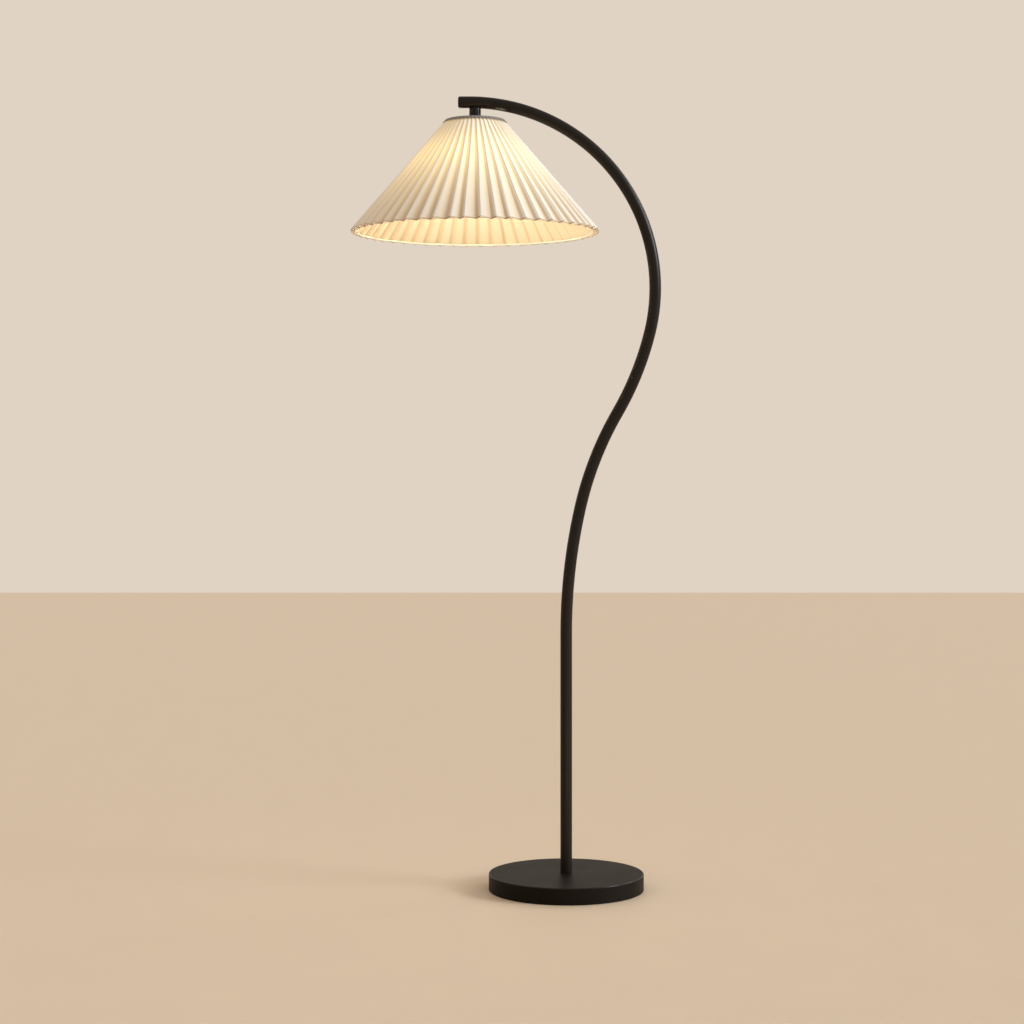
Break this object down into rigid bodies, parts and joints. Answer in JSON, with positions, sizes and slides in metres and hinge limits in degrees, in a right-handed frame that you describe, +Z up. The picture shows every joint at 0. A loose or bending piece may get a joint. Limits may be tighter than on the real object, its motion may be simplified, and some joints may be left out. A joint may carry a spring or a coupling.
{
  "type": "arc floor lamp",
  "caption": "floor lamp with a weighted round base, a bent tubular stem that arches over and a hanging cone shade of pleated fabric round a screw-in bulb",
  "frame": {"origin": "on the floor, at the centre of the base's underside", "axes": "+Z up, the stem bends in the XZ plane, the arm and shade reach towards -X, -Y is the viewing side"},
  "size_m": [0.5609, 0.4504, 1.4333],
  "materials": {
    "black_coat": "matte black powder coat with a fine texture",
    "black_gloss": "gloss black",
    "felt": "black felt",
    "zinc": "bright zinc plate",
    "cast_iron": "rough casting",
    "rubber": "black rubber",
    "nylon": "natural nylon",
    "flex_sheath": "white sheathed flex",
    "brass": "plain brass",
    "ceramic": "white steatite",
    "opal_glass": "opal glass",
    "cream_fabric": "cream pleated fabric, laminated, translucent",
    "taupe_band": "grey-brown woven tape",
    "white_wire": "white coated steel wire"
  },
  "bodies": {
    "stand": {"base_pad": "felt", "bottom_plate": "zinc", "base_weight": "cast_iron", "base_cover": "black_coat", "plate_screw_1": "zinc", "plate_screw_2": "zinc", "plate_screw_3": "zinc", "rod_washer": "zinc", "spring_washer": "zinc", "rod_nut": "zinc", "base_rod": "zinc", "stem_foot_insert": "zinc", "cord_inlet_bush": "rubber", "terminal_block": "nylon", "terminal_sleeve_1": "brass", "terminal_sleeve_2": "brass", "terminal_sleeve_3": "brass", "stem_tube": "black_coat", "arm_end_cap": "black_coat", "arm_insert": "zinc", "neck": "black_gloss", "neck_rod": "zinc", "neck_rod_nut": "zinc", "inner_flex": "flex_sheath", "holder_cap": "black_gloss", "holder_body": "black_gloss", "holder_insulator": "ceramic", "holder_terminal_screw_1": "brass", "holder_terminal_screw_2": "brass", "screw_shell": "brass", "centre_contact": "brass"},
    "shade": {"shade_cover": "cream_fabric", "shade_top_hoop": "white_wire", "shade_rim_hoop": "white_wire", "shade_top_band": "taupe_band", "shade_fitter": "zinc", "shade_arm_1": "white_wire", "shade_arm_2": "white_wire", "shade_arm_3": "white_wire"},
    "shade_ring": {"shade_ring": "black_gloss"},
    "bulb": {"bulb_globe": "opal_glass", "bulb_cap": "zinc", "bulb_insulator": "black_gloss", "bulb_contact": "zinc"}
  },
  "joints": [
    {"name": "shade_turn", "type": "hinge", "parent": "stand", "child": "shade", "pos_m": [-0.16477, 0, 1.345], "axis": [0, 0, 1], "continuous": true},
    {"name": "shade_ring_turn", "type": "hinge", "parent": "stand", "child": "shade_ring", "pos_m": [-0.16477, 0, 1.338], "axis": [0, 0, -1], "range_deg": [0, 900]},
    {"name": "bulb_withdraw", "type": "slide", "parent": "stand", "child": "bulb", "axis": [0, 0, -1], "range_m": [0, 0.2]}
  ]
}
